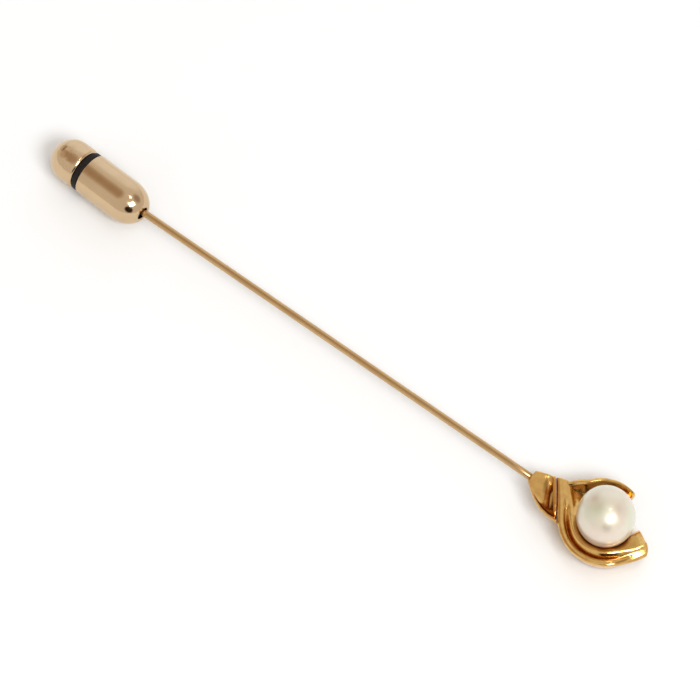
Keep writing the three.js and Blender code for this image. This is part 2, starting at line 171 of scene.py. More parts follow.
def tinted(tree, share, stops):
    """A colour ramp: stops are (share, colour)."""
    ramp = tree.nodes.new("ShaderNodeValToRGB")
    while len(ramp.color_ramp.elements) < len(stops):
        ramp.color_ramp.elements.new(0.5)
    for element, (position, colour) in zip(ramp.color_ramp.elements, stops):
        element.position = position
        element.color = (*colour, 1)
    tree.links.new(share, ramp.inputs["Fac"])
    return ramp.outputs["Color"]


def relief(tree, shader, height, depth, over=None):
    """Gives the surface fine relief of that depth, over an earlier one if there is one."""
    bump = tree.nodes.new("ShaderNodeBump")
    bump.inputs["Distance"].default_value = depth
    tree.links.new(height, bump.inputs["Height"])
    if over:
        tree.links.new(over.outputs["Normal"], bump.inputs["Normal"])
    tree.links.new(bump.outputs["Normal"], shader.inputs["Normal"])
    return bump


def darker(colour, by):
    """The same gold a little deeper: its blue falls off faster than its red."""
    return tuple(c * by ** (1 + 0.35 * k) for k, c in enumerate(colour))


def drawn_gold():
    """Wire gold with the die's fine lines along it and the dull spots that handling leaves."""
    finish, tree, shader = new_finish("Drawn gold", wire_gold, 1, 0.3)
    handled = grain(tree, (0.5, 1.2, 1.2))
    tone = tinted(tree, handled, [(0.3, darker(wire_gold, 0.86)), (0.7, wire_gold)])
    tree.links.new(tone, shader.inputs["Base Color"])
    tree.links.new(between(tree, handled, 0.34, 0.22), shader.inputs["Roughness"])
    relief(tree, shader, grain(tree, (0.4, 22, 22), 4), 0.002 * MM)
    return finish


stem = turned_on_lathe("Stem", wire_outline(), wire_line, sides=48)
stem.data.materials.append(drawn_gold())
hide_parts("stem_wire")
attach(stem, "pin")

# ---- leaf -----------------------------------------------------------------------------------
# The leaf is cast in yellow gold. It grips the wire with its neck, opens to one side with a
# dished face and a raised rim, and is soldered against the back edge of the ribbon band.

swirl_turn = math.radians(38.3)
swirl = Matrix.Rotation(swirl_turn, 4, "Z")
solder_gap = 0.03 * MM
leaf_flare = 2.95 * MM
leaf_shoulder = 1.55 * MM
leaf_thickness = 0.75 * MM
leaf_length = 4.15 * MM
back_edge = 5.15 * MM

# Width of the two sides as the leaf opens: (share of the leaf's length, low side, straight side).
leaf_widths = [(-0.05, 0.19, 0.40), (0.12, 0.38, 0.66), (0.3, 0.58, 0.86), (0.55, 0.8, 0.99),
               (0.78, 0.94, 1.0), (1.0, 1.0, 1.0), (1.5, 1.0, 1.0)]
# Across the face: (share of the width, height of the face, how much of the dish it takes).
leaf_face = [(-1, 0.45, 0), (-0.985, 0.82, 0), (-0.94, 0.92, 0), (-0.89, 0.86, 0.15), (-0.8, 0.84, 0.5),
             (-0.55, 0.9, 0.9), (-0.1, 1.0, 1), (0.4, 1.0, 0.8), (0.85, 0.92, 0.3), (1, 0.55, 0)]
# Across the back: (share of the width, height).
leaf_back = [(-0.97, 0.05), (-0.88, -0.35), (-0.75, -0.6), (-0.6, -0.75), (-0.42, -0.88),
             (-0.15, -0.97), (0.15, -0.98), (0.45, -0.9), (0.75, -0.65), (0.96, -0.1)]
leaf_dish = 0.58 * MM
leaf_dip = 0.5 * MM
# The leaf's gold is the band's gold a shade deeper: a shaded copy of the one gold, as painted shade on the
# leaf.
leaf_gold_shaded = (0.70, 0.43, 0.14)


def stepped(rows, at):
    """The row of numbers at a share, read between the rows on its two sides."""
    for low, high in zip(rows, rows[1:]):
        if at <= high[0]:
            share = (at - low[0]) / (high[0] - low[0])
            return [a + (b - a) * share for a, b in zip(low[1:], high[1:])]
    return rows[-1][1:]


def cage_through(points):
    """Moves the points of an open cage out, so that the smoothed surface passes through them."""
    cage = [p.copy() for p in points]
    for _ in range(8):
        for i in range(1, len(points) - 1):
            smoothed = (cage[i - 1] + 4 * cage[i] + cage[i + 1]) / 6
            cage[i] = cage[i] + points[i] - smoothed
    return cage


def skinned(name, rings, place=Matrix.Identity(4), levels=3):
    """A closed body over rings of points: in each, the face points and then the back points."""
    bm = bmesh.new()
    rows = [[bm.verts.new(p) for p in ring] for ring in rings]
    count = len(rings[0])
    for a, b in zip(rows, rows[1:]):
        for i in range(count):
            j = (i + 1) % count
            bm.faces.new((a[i], a[j], b[j], b[i]))
    for end in (rows[0], rows[-1]):
        for i in range(count // 2 - 1):
            bm.faces.new((end[i], end[i + 1], end[count - 2 - i], end[count - 1 - i]))
    piece = made_of(name, bm, place)
    smoothing = piece.modifiers.new("Smoothing", "SUBSURF")
    smoothing.levels = levels
    smoothing.render_levels = levels
    return piece


def eased(t, start, end):
    """A share that rises smoothly from 0 at start to 1 at end."""
    share = min(max((t - start) / (end - start), 0), 1)
    return share * share * (3 - 2 * share)


def leaf_rings():
    """Sections from the neck to the slanting line where the leaf meets the band."""
    neck = wire_high.x - 1.2 * MM
    axis_y, axis_z = wire_line.translation.y, wire_line.translation.z
    rings = []
    steps = 16
    for k in range(steps + 1):
        share = k / steps
        ring = []
        for across, up, dished in leaf_face + [(a, u, 0) for a, u in reversed(leaf_back)]:
            full = leaf_flare if across < 0 else leaf_shoulder
            end_y = axis_y + across * full
            end_x = (-back_edge - solder_gap - end_y * math.sin(swirl_turn)) / math.cos(swirl_turn)
            x = neck + (end_x - neck) * share
            low, straight = stepped(leaf_widths, (x - neck) / leaf_length)
            y = axis_y + across * full * (low if across < 0 else straight)
            dish = dished * (leaf_dish * min(1, 1.6 * share) + leaf_dip * eased(share, 0.45, 1))
            ring.append(Vector((x, y, axis_z + up * leaf_thickness - dish)))
        rings.append(ring)
    return rings


swirl_gold = (0.78, 0.50, 0.17)
# Hollow colours: brown tarnish deepened into painted shade, and an orange that is painted interreflection
# between the gold parts.
tarnish_and_shade = (0.2, 0.065, 0.012)
painted_interreflection_orange = (0.5, 0.2, 0.035)
cast_gloss = 0.12


def cast_gold(name, colour=swirl_gold, shade_reach=0.6 * MM):
    """Yellow gold polished by hand: it waves slightly, and ambient occlusion darkens its hollows, from
    painted orange interreflection down to brown tarnish and painted shade in the deepest.
    """
    finish, tree, shader = new_finish(name, colour, 1, cast_gloss)
    # Ambient occlusion, broken by noise, paints shade and interreflection into the hollows along with the
    # tarnish.
    shade_in_hollows = tree.nodes.new("ShaderNodeAmbientOcclusion")
    shade_in_hollows.samples = 8
    shade_in_hollows.inputs["Distance"].default_value = shade_reach
    tarnish_and_shade_mask = tree.nodes.new("ShaderNodeMath")
    tarnish_and_shade_mask.operation = "MULTIPLY"
    tree.links.new(shade_in_hollows.outputs["AO"], tarnish_and_shade_mask.inputs[0])
    tree.links.new(between(tree, grain(tree, (1.1, 1.1, 1.1), 5), 0.68, 1.0), tarnish_and_shade_mask.inputs[1])
    stops = [(0.1, tarnish_and_shade), (0.42, painted_interreflection_orange), (0.75, darker(colour, 0.9)), (0.95, colour)]
    tree.links.new(tinted(tree, tarnish_and_shade_mask.outputs["Value"], stops), shader.inputs["Base Color"])
    dulled = between(tree, grain(tree, (4, 4, 4), 4), cast_gloss * 0.7, cast_gloss * 1.7)
    tree.links.new(dulled, shader.inputs["Roughness"])
    waves = relief(tree, shader, grain(tree, (0.5, 0.5, 0.5), 1), 0.035 * MM)
    relief(tree, shader, grain(tree, (9, 9, 9), 5), 0.0012 * MM, over=waves)
    return finish


leaf = skinned("Leaf_casting", leaf_rings())
leaf.data.materials.append(cast_gold("Leaf gold", leaf_gold_shaded))
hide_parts("leaf")
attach(leaf, "pin")

# ---- twist roll -----------------------------------------------------------------------------
# A thin roll of gold lies in the groove between leaf and band, and covers their joint. It is
# bent over the top of the head and soldered down both sides.

roll_radius = 0.2 * MM
roll_gold = (0.66, 0.34, 0.075)
crown_height = 3.2 * MM
pearl_low, pearl_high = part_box("pearl")
pearl_side = 3.2 * MM

roll_x = -back_edge - solder_gap - roll_radius
roll_top = crown_height - 0.1 * MM
roll_line = [Vector((roll_x, y, z)) for y, z in (
    (back_edge + 0.6 * MM, roll_top - 0.7 * MM), (back_edge + 0.2 * MM, roll_top - 0.05 * MM),
    (0.8 * back_edge, roll_top + 0.05 * MM), (pearl_side, roll_top), (0.5 * pearl_side, roll_top - 0.35 * MM),
    (0.21 * pearl_side, roll_top - 1.25 * MM))]


def flowing(points, t):
    """The place at share t of the smooth line that the points guide."""
    spans = len(points) - 1
    at = min(max(t, 0) * spans, spans - 1e-6)
    i = int(at)
    u = at - i
    guides = [2 * points[0] - points[1], *points, 2 * points[-1] - points[-2]]
    a, b, c, d = guides[i:i + 4]
    return (a * (1 - u) ** 3 + b * (3 * u ** 3 - 6 * u ** 2 + 4)
            + c * (3 * u + 3 * u ** 2 - 3 * u ** 3 + 1) + d * u ** 3) / 6


def roll_rings():
    """Round sections along the roll, drawn in at its two ends."""
    line = cage_through(roll_line)
    side = Vector((1, 0, 0))
    rings = []
    for k in range(29):
        t = k / 28
        here = flowing(line, t)
        along = (flowing(line, t + 0.01) - flowing(line, t - 0.01)).normalized()
        up = along.cross(side)
        radius = roll_radius * min(1, 0.45 + 12 * min(t, 1 - t)) ** 0.5
        turn = [math.pi / 8 * (j + 0.5) for j in range(16)]
        rings.append([here + radius * (side * math.cos(a) + up * math.sin(a)) for a in turn])
    return rings


roll = skinned("Twist_roll_bead", roll_rings(), levels=2)
roll.data.transform(swirl)
roll.data.materials.append(cast_gold("Roll gold", roll_gold))
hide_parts("twist_roll")
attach(roll, "pin")

# ---- swirl band -----------------------------------------------------------------------------
# The ribbon band is one casting that runs down beside the pearl and on under it to a flared,
# cut tip. A rounded rim and an inner ridge run along it with a channel between them, and its
# inner slope leads down to the cup.

rim_height = 2.9 * MM
ridge_height = 3.05 * MM
channel_height = 2.5 * MM
seat_height = 2.35 * MM

# Guide lines round the pearl: (degrees round from the swirl's mouth, distance beyond the pearl).
band_outer = [(131.8, 4.52), (140.6, 3.46), (153.3, 2.56), (170.1, 2.02), (191.5, 1.8), (214.8, 1.79),
              (238.8, 1.82), (259.8, 1.85), (280.3, 1.82), (300, 1.85), (320.9, 2.42)]
band_inner = [(112, 1.9), (119, 0.75), (133, -0.25), (158, -0.44), (184, -0.44), (208, -0.44),
              (232, -0.44), (260, -0.44), (295, -0.44), (340, -0.42), (357.5, 0.38)]
# Columns across the band: (share across, height of the face) over (share across, height of the foot).
band_start = [(0, crown_height - 0.5 * MM, 0.03, 1.6 * MM), (0.02, crown_height - 0.12 * MM, 0.13, 0.7 * MM),
              (0.09, crown_height, 0.22, 0), (0.18, crown_height, 0.27, 0),
              (0.25, crown_height - 0.02 * MM, 0.32, 0), (0.31, crown_height - 0.06 * MM, 0.37, 0),
              (0.37, crown_height - 0.12 * MM, 0.42, 0), (0.43, crown_height - 0.22 * MM, 0.47, 0),
              (0.49, crown_height - 0.38 * MM, 0.53, 0), (0.55, crown_height - 0.65 * MM, 0.6, 0),
              (0.66, seat_height, 0.7, 0), (1, seat_height - 0.35 * MM, 1, 0)]
band_middle = [(0, rim_height - 0.4 * MM, 0.19, 1.4 * MM), (0.04, rim_height - 0.05 * MM, 0.34, 0.6 * MM),
               (0.16, rim_height, 0.45, 0), (0.28, rim_height - 0.1 * MM, 0.5, 0),
               (0.32, channel_height + 0.02 * MM, 0.54, 0), (0.37, channel_height - 0.1 * MM, 0.58, 0),
               (0.42, channel_height, 0.63, 0), (0.51, channel_height + 0.28 * MM, 0.68, 0),
               (0.61, ridge_height - 0.04 * MM, 0.74, 0), (0.72, ridge_height - 0.02 * MM, 0.8, 0),
               (0.87, seat_height + 0.58 * MM, 0.9, 0), (1, seat_height + 0.42 * MM, 1, 0)]
band_tip = [(0, rim_height - 0.9 * MM, 0.08, 1.4 * MM), (0.02, rim_height - 0.68 * MM, 0.2, 0.9 * MM),
            (0.06, rim_height - 0.56 * MM, 0.32, 0.5 * MM), (0.1, rim_height - 0.46 * MM, 0.4, 0.5 * MM),
            (0.14, rim_height - 0.36 * MM, 0.45, 0.5 * MM), (0.18, rim_height - 0.26 * MM, 0.5, 0.52 * MM),
            (0.22, rim_height - 0.15 * MM, 0.54, 0.53 * MM), (0.26, rim_height - 0.03 * MM, 0.6, 0.55 * MM),
            (0.3, rim_height + 0.04 * MM, 0.66, 0.6 * MM), (0.4, rim_height - 0.04 * MM, 0.75, 0.7 * MM),
            (0.72, seat_height + 0.12 * MM, 0.88, 0.8 * MM), (1, seat_height - 0.3 * MM, 1, 0.9 * MM)]
tip_bulge = 0.35 * MM


def round_pearl(guides, t):
    """The place at share t of a guide line round the pearl."""
    degrees, beyond = flowing(cage_through([Vector(g) for g in guides]), t)
    a = math.radians(degrees)
    r = pearl_side + beyond * MM
    return Vector((r * math.cos(a), r * math.sin(a), 0))


def band_columns(t):
    """The band's section at share t of its length: crown, then rim and ridge, then tip."""
    from_start = eased(t, 0.08, 0.42)
    into_tip = eased(t, 0.76, 0.94)
    columns = []
    for start, middle, tip in zip(band_start, band_middle, band_tip):
        run = [a + (b - a) * from_start for a, b in zip(start, middle)]
        columns.append([a + (b - a) * into_tip for a, b in zip(run, tip)])
    return columns


def section_ring(outer, inner, columns):
    """A ring of the section's points: the face compensated for smoothing, and the foot back again."""
    def at(share, height):
        return outer.lerp(inner, share) + Vector((0, 0, height))

    face = [at(c[0], c[1]) for c in columns]
    foot = [at(c[2], c[3]) for c in columns]
    face = cage_through([foot[0], *face])[1:]
    return face + foot[::-1]


def drawn_in(ring, share):
    """The ring once more, drawn in to its middle, so that the end keeps a crisp edge."""
    middle = sum(ring, Vector()) / len(ring)
    return [p.lerp(middle, share) for p in ring]


def band_rings():
    """Sections along the band, with its end face bulged a little."""
    rings = []
    steps = 44
    for k in range(steps + 1):
        t = k / steps
        outer, inner = round_pearl(band_outer, t), round_pearl(band_inner, t)
        forward = (round_pearl(band_outer, t + 0.01) - round_pearl(band_outer, t - 0.01)).normalized()
        push = tip_bulge * eased(t, 0.8, 1)
        ring = section_ring(outer, inner, band_columns(t))
        half = len(ring) // 2
        for i, p in enumerate(ring):
            share = (i if i < half else 2 * half - 1 - i) / (half - 1)
            p += forward * push * 4 * share * (1 - share)
        rings.append(ring)
    rings.append(drawn_in(rings[-1], 0.04))
    return rings


band = skinned("Swirl_band_casting", band_rings())
band.data.transform(swirl)
band.data.materials.append(cast_gold("Band gold"))
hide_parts("swirl_band")
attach(band, "pin")

# ---- upper arm ------------------------------------------------------------------------------
# The arm leaves the top of the band and runs behind the pearl, deep at its root and thin at its
# blunt tip. It is cast with the band, and its inner side is polished to a slant at the tip.

arm_height = 3.65 * MM
arm_foot = 0.5 * MM
arm_outer = [(131, 3.6), (112, 2.34), (96.5, 2.13), (83.4, 2.03), (70.5, 1.89), (58, 1.7), (46.3, 1.5)]
arm_inner = [(141, 2.0), (114, 0.5), (96.1, 0.42), (83, 0.4), (71, 0.38), (60, 0.36), (49.5, 0.42)]
arm_edge = 2.6 * MM
arm_root_sink = 0.55 * MM
edge_root_sink, edge_tip_rise = 0.9 * MM, 0.6 * MM
arm_tip_depth = 0.25 * MM
tip_chamfer = 1.5 * MM


def arm_rings():
    """Sections along the arm: low at its root, and slanted on the inner side of its tip."""
    rings = []
    steps = 26
    for k in range(steps + 1):
        t = k / steps
        top = arm_height - arm_root_sink * (1 - eased(t, 0, 0.2))
        edge = arm_edge - edge_root_sink * (1 - eased(t, 0, 0.5)) + edge_tip_rise * eased(t, 0.5, 0.8)
        cut = tip_chamfer * eased(t, 0.84, 1)
        foot = arm_foot + (arm_edge - arm_tip_depth - arm_foot) * eased(t, 0, 0.95)
        columns = [(0, top - 0.45 * MM, 0, foot + 0.5 * MM), (0.08, top - 0.08 * MM, 0.1, foot + 0.2 * MM),
                   (0.2, top, 0.25, foot), (0.32, top - 0.2 * MM - 0.1 * cut, 0.36, foot),
                   (0.44, top - 0.6 * MM - 0.2 * cut, 0.5, foot),
                   (0.72, edge + 0.3 * MM - 0.4 * cut, 0.75, foot), (1, edge - 0.5 * cut, 1, foot + 0.1 * MM)]
        rings.append(section_ring(round_pearl(arm_outer, t), round_pearl(arm_inner, t), columns))
    rings.append(drawn_in(rings[-1], 0.08))
    return rings


arm = skinned("Upper_arm_casting", arm_rings())
arm.data.transform(swirl)
# The arm's painted shade reaches less far into its hollows.
arm.data.materials.append(cast_gold("Arm gold", shade_reach=0.3 * MM))
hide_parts("upper_arm")
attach(arm, "pin")

# ---- pearl cup ------------------------------------------------------------------------------
# The cup is a turned gold dish in the middle of the swirl. The pearl sits in it, and a hole in
# its floor holds the post. Its flat back is what the head rests on.

cup_low, cup_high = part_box("pearl_cup")
cup_radius = (cup_high.x - cup_low.x) / 2
cup_rim = cup_high.z
post_low, post_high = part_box("pearl_post")
post_radius = (post_high.x - post_low.x) / 2
post_hole = post_radius + solder_gap
upright = Matrix.Rotation(-math.pi / 2, 4, "Y")
pearl_middle = (pearl_low.z + pearl_high.z) / 2
pearl_upright = (pearl_high.z - pearl_low.z) / 2
cement_gap = 0.03 * MM


def softened(corners, steps=5):
    """An outline with its corners rounded: each corner is (along, radius, rounding)."""
    points = []
    for i, (x, y, rounding) in enumerate(corners):
        here = Vector((x, y))
        if not rounding:
            points.append(here)
            continue
        into = (Vector(corners[i - 1][:2]) - here).normalized()
        out = (Vector(corners[(i + 1) % len(corners)][:2]) - here).normalized()
        half = into.angle(out) / 2
        reach = rounding / math.tan(half)
        centre = here + (into + out).normalized() * (rounding / math.sin(half))
        first, last = here + into * reach, here + out * reach
        start = math.atan2(first.y - centre.y, first.x - centre.x)
        sweep = math.atan2(last.y - centre.y, last.x - centre.x) - start
        sweep = (sweep + math.pi) % math.tau - math.pi
        points.append(first + into * rounding * 0.2)
        for k in range(steps + 1):
            a = start + sweep * k / steps
            points.append(centre + rounding * Vector((math.cos(a), math.sin(a))))
        points.append(last + out * rounding * 0.2)
    return points


def cup_outline():
    """The dish that fits the pearl, its rounded rim, its side and its flat back."""
    reach = pearl_upright + cement_gap
    rim_angle = math.acos((pearl_middle - cup_rim) / reach)
    hole_angle = math.asin((post_hole + 0.1 * MM) / reach)
    dish = []
    for k in range(17):
        a = rim_angle + (hole_angle - rim_angle) * k / 16
        dish.append((pearl_middle - reach * math.cos(a), reach * math.sin(a), 0))
    floor = dish[-1][0]
    outline = [(0, cup_radius - 0.15 * MM, 0.05 * MM), (0.15 * MM, cup_radius, 0.05 * MM),
               (cup_rim, cup_radius, 0.04 * MM), *dish, (floor, post_hole, 0), (post_low.z, post_hole, 0),
               (post_low.z, 0, 0)]
    return [(0, 0), *softened(outline)]


cup = turned_on_lathe("Pearl_cup_dish", cup_outline(), Matrix.Identity(4))
cup.data.transform(swirl @ upright)
cup.data.materials.append(cast_gold("Cup gold"))
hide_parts("pearl_cup")
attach(cup, "pin")

# ---- pearl post -----------------------------------------------------------------------------
# A short gold peg stands in the cup's floor and goes up into the half-drilled pearl. Two rings
# are filed round it, so that the cement keys to it.

post_top = post_high.z
filed_at = (0.45, 0.65)
filed_width = 0.1 * MM
filed_depth = 0.07 * MM
post_bevel, post_bevel_length = 0.15 * MM, 0.2 * MM


def post_outline():
    """The peg with its two filed rings and its eased top."""
    outline = [(post_low.z, 0), (post_low.z, post_radius)]
    for share in filed_at:
        groove = post_low.z + (post_top - post_low.z) * share
        outline += [(groove - filed_width, post_radius), (groove, post_radius - filed_depth),
                    (groove + filed_width, post_radius)]
    for k in range(7):
        a = math.pi / 2 * k / 6
        outline.append((post_top - post_bevel_length * (1 - math.sin(a)),
                        post_radius - post_bevel * (1 - math.cos(a))))
    return outline + [(post_top, 0)]


post = turned_on_lathe("Pearl_post_peg", post_outline(), Matrix.Identity(4), sides=48)
post.data.transform(swirl @ upright)
post.data.materials.append(cast_gold("Post gold"))
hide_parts("pearl_post")
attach(post, "pin")

# ---- pearl ----------------------------------------------------------------------------------
# A cultured pearl, nearly round, drilled half through from below and cemented on the post. Its
# nacre is cream, with clouds of pink and green overtone that lie at random over it.

pearl_stretch = pearl_upright / pearl_side
nacre_cream = (0.70, 0.65, 0.52)
nacre_pink = (0.72, 0.62, 0.51)
nacre_green = (0.60, 0.66, 0.50)
nacre_shine = 0.45
nacre_rough_low, nacre_rough_high = 0.34, 0.42
skin_roughness, skin_index = 0.17, 1.8


def pearl_outline():
    """The ball, and the drilled hole with its flat end."""
    hole_angle = math.asin(post_hole / pearl_side)
    drill_top = (post_top + 2 * cement_gap - pearl_middle) / pearl_stretch
    outline = [(drill_top, 0), (drill_top, post_hole)]
    for k in range(73):
        a = hole_angle + (math.pi - hole_angle) * k / 72
        outline.append((-pearl_side * math.cos(a), pearl_side * math.sin(a) if k < 72 else 0))
    return outline


def nacre():
    """Cream nacre: layered light under a clear skin, with cloudy pink and green overtones."""
    finish, tree, shader = new_finish("Nacre", nacre_cream, nacre_shine, nacre_rough_low)
    clouds = grain(tree, (0.18, 0.18, 0.22), 2)
    tone = tinted(tree, clouds, [(0.32, nacre_green), (0.48, nacre_cream), (0.62, nacre_pink)])
    tree.links.new(tone, shader.inputs["Base Color"])
    shader.inputs["Coat Weight"].default_value = 1
    shader.inputs["Coat Roughness"].default_value = skin_roughness
    shader.inputs["Coat IOR"].default_value = skin_index
    shader.inputs["Subsurface Weight"].default_value = 0.25
    shader.inputs["Subsurface Radius"].default_value = (1, 0.75, 0.6)
    shader.inputs["Subsurface Scale"].default_value = 0.8 * MM
    matted = between(tree, grain(tree, (1.5, 1.5, 1.5), 4), nacre_rough_low, nacre_rough_high)
    tree.links.new(matted, shader.inputs["Roughness"])
    relief(tree, shader, grain(tree, (1.6, 1.6, 1.6), 2), 0.0006 * MM)
    return finish


pearl = turned_on_lathe("Pearl_half_drilled", pearl_outline(), Matrix.Translation((0, 0, pearl_middle)),
                        sides=128)
pearl.data.transform(swirl @ Matrix.Diagonal((1, pearl_stretch, pearl_stretch, 1)) @ upright)
pearl.data.materials.append(nacre())
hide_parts("pearl")
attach(pearl, "pin")

# ---- barrel shell ---------------------------------------------------------------------------
# The clutch's barrel is drawn from thin gold-plated brass: a straight tube that closes to a
# rounded nose, with a hole in it for the wire. It is polished bright all over.

clutch_turn = next(j for j in frame["joints"] if j["name"] == "clutch_turn")
clutch_axis = Vector(clutch_turn["axis"]).normalized()
clutch_side = Vector((0, 0, 1)).cross(clutch_axis)
clutch = Matrix.Translation(clutch_turn["pos_m"]) @ Matrix(
    (clutch_axis, clutch_side, (0, 0, 1))).transposed().to_4x4()
casing_wall = 0.35 * MM
nose_length = 3.0 * MM
lip_radius = 1.1 * MM
lip_rounding = 0.06 * MM
edge_rounding = 0.13 * MM
clutch_gold = (0.66, 0.49, 0.30)


def measured(node):
    """Where a part lies along the clutch from the balls, and its least and greatest radius."""
    into = clutch.inverted()
    places = [into @ v.co for v in frame["nodes"][node].data.vertices]
    along = [p.x for p in places]
    radius = [math.hypot(p.y, p.z) for p in places]
    return min(along), max(along), min(radius), max(radius)


barrel_start, barrel_end, nose_hole, casing_radius = measured("barrel_shell")
bore_radius = casing_radius - casing_wall


def barrel_outline():
    """The casing's wall: the lip, the elliptical nose, the straight tube, and back along the bore."""
    trim = nose_length * (1 - math.sqrt(1 - (lip_radius / casing_radius) ** 2))
    middle = barrel_start - trim + nose_length
    lip_angle = math.asin((lip_radius + 2 * lip_rounding) / casing_radius)
    nose = []
    for k in range(33):
        a = lip_angle + (math.pi / 2 - lip_angle) * k / 32
        nose.append((middle - nose_length * math.cos(a), casing_radius * math.sin(a), 0))
    cone = nose_length - trim
    return softened([
        (barrel_start, nose_hole, lip_rounding), (barrel_start, lip_radius, lip_rounding), *nose,
        (barrel_end, casing_radius, edge_rounding), (barrel_end, bore_radius, 0.04 * MM),
        (barrel_start + cone - 0.45 * MM, bore_radius, 0.2 * MM),
        (barrel_start + cone * 0.42, casing_radius * 0.63, 0.2 * MM),
        (barrel_start + casing_wall + 0.1 * MM, nose_hole + 0.15 * MM, 0.04 * MM),
        (barrel_start + casing_wall, nose_hole, 0.05 * MM)])


def plated_gold(name, gloss=0.09, scuffs=0.0009 * MM, dents=0.006 * MM, dented=0.35):
    """Bright gold plate with turning marks round it, soft scuffs, dents and dull fingered patches."""
    finish, tree, shader = new_finish(name, clutch_gold, 1, gloss)
    fingered = grain(tree, (0.35, 0.5, 0.5), 3)
    tone = tinted(tree, fingered, [(0.3, darker(clutch_gold, 0.93)), (0.65, clutch_gold)])
    tree.links.new(tone, shader.inputs["Base Color"])
    rubbed = between(tree, grain(tree, (2.5, 2.5, 2.5), 5), gloss * 0.8, gloss * 1.8)
    tree.links.new(rubbed, shader.inputs["Roughness"])
    waves = relief(tree, shader, grain(tree, (dented, dented, dented), 2), dents)
    marks = relief(tree, shader, grain(tree, (30, 1.5, 1.5), 3), scuffs, over=waves)
    relief(tree, shader, grain(tree, (7, 7, 7), 5), scuffs, over=marks)
    return finish


barrel = turned_on_lathe("Barrel_casing", barrel_outline(), clutch, ring=True, sides=144)
barrel.data.materials.append(plated_gold("Barrel plate"))
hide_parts("barrel_shell")
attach(barrel, "barrel")

# ---- taper ring -----------------------------------------------------------------------------
# A turned brass ring is pressed into the nose. Its bore is a cone, and the three balls jam
# between the cone and the wire when the wire is pulled.

taper_start, taper_end, taper_narrow, taper_outer = measured("taper_ring")
taper_angle = math.radians(14)
works_brass = (0.62, 0.42, 0.17)
brass_gloss = 0.24


def turned_brass(name):
    """Plain brass straight from the lathe, with its fine tool lines left on and a little oil."""
    finish, tree, shader = new_finish(name, works_brass, 1, brass_gloss)
    oiled = grain(tree, (0.8, 0.8, 0.8), 4)
    tone = tinted(tree, oiled, [(0.3, darker(works_brass, 0.7)), (0.65, works_brass)])
    tree.links.new(tone, shader.inputs["Base Color"])
    tree.links.new(between(tree, oiled, brass_gloss * 1.3, brass_gloss * 0.7), shader.inputs["Roughness"])
    relief(tree, shader, grain(tree, (18, 0.3, 0.3), 3), 0.003 * MM)
    return finish


taper_mouth = taper_narrow + (taper_end - taper_start) * math.tan(taper_angle)
taper_ring = turned_on_lathe("Taper_ring_cone", softened([
    (taper_start, taper_narrow, 0.03 * MM), (taper_start, taper_narrow + 0.25 * MM, 0.05 * MM),
    (barrel_start + nose_length - 0.5 * MM, taper_outer, 0.06 * MM), (taper_end, taper_outer, 0.05 * MM),
    (taper_end, taper_mouth, 0.05 * MM)]), clutch, ring=True)
taper_ring.data.materials.append(turned_brass("Taper brass"))
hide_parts("taper_ring")
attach(taper_ring, "seat")

# ---- rear collar ----------------------------------------------------------------------------
# The collar is pressed into the barrel's open end. It closes the barrel, backs the spring, and
# the cage slides through it.


def plain_ring(name, node, rounding):
    """A turned ring of the node's own size, with all four edges rounded."""
    start, end, inner, outer = measured(node)
    corners = [(start, inner), (start, outer), (end, outer), (end, inner)]
    outline = softened([(*corner, rounding) for corner in corners])
    return turned_on_lathe(name, outline, clutch, ring=True)


collar = plain_ring("Rear_collar_ring", "rear_collar", 0.06 * MM)
collar.data.materials.append(turned_brass("Collar brass"))
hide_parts("rear_collar")
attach(collar, "barrel")

# ---- spring and its washer ------------------------------------------------------------------
# A short coil of steel wire pushes the cage to the nose, so that the balls stay in the cone. It
# bears on a thin washer in front of the collar, and both turn with the knob.

spring_start, spring_end, spring_inner, spring_outer = measured("spring")
spring_wire = (spring_outer - spring_inner) / 2
spring_turns = 4
spring_steel = (0.48, 0.47, 0.46)
blued_steel = (0.36, 0.33, 0.31)


def sprung_steel():
    """Hard steel wire, slightly blued, with lines along it."""
    finish, tree, shader = new_finish("Spring steel", spring_steel, 1, 0.3)
    heat = grain(tree, (0.6, 0.6, 0.6), 3)
    tone = tinted(tree, heat, [(0.35, spring_steel), (0.65, blued_steel)])
    tree.links.new(tone, shader.inputs["Base Color"])
    tree.links.new(between(tree, heat, 0.24, 0.38), shader.inputs["Roughness"])
    relief(tree, shader, grain(tree, (14, 14, 14), 4), 0.0015 * MM)
    return finish


def coil_rings():
    """Round sections of the wire along the coil, whose end turns lie nearly flat."""
    middle = (spring_outer + spring_inner) / 2
    low, high = spring_start + spring_wire, spring_end - spring_wire
    rings = []
    steps = spring_turns * 28
    for k in range(steps + 1):
        t = k / steps
        a = math.tau * spring_turns * t
        rise = 0.75 * t + 0.25 * eased(t, 0, 1)
        out = Vector((0, math.cos(a), math.sin(a)))
        here = out * middle + Vector((low + (high - low) * rise, 0, 0))
        turn = [math.tau * (j + 0.5) / 12 for j in range(12)]
        round_wire = [out * math.cos(b) + Vector((math.sin(b), 0, 0)) for b in turn]
        rings.append([here + spring_wire * 0.98 * side for side in round_wire])
    return rings


spring = skinned("Spring_coil", coil_rings(), clutch, levels=1)
spring.data.materials.append(sprung_steel())
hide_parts("spring")
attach(spring, "spring_unit")
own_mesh(spring)

washer = plain_ring("Spring_washer_ring", "spring_washer", 0.03 * MM)
washer.data.materials.append(sprung_steel())
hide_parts("spring_washer")
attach(washer, "spring_unit")

# ---- ball cage ------------------------------------------------------------------------------
# The cage is a brass tube round the wire with three pockets for the balls and a flange for the
# spring. Its back end passes through the collar and carries the cap.

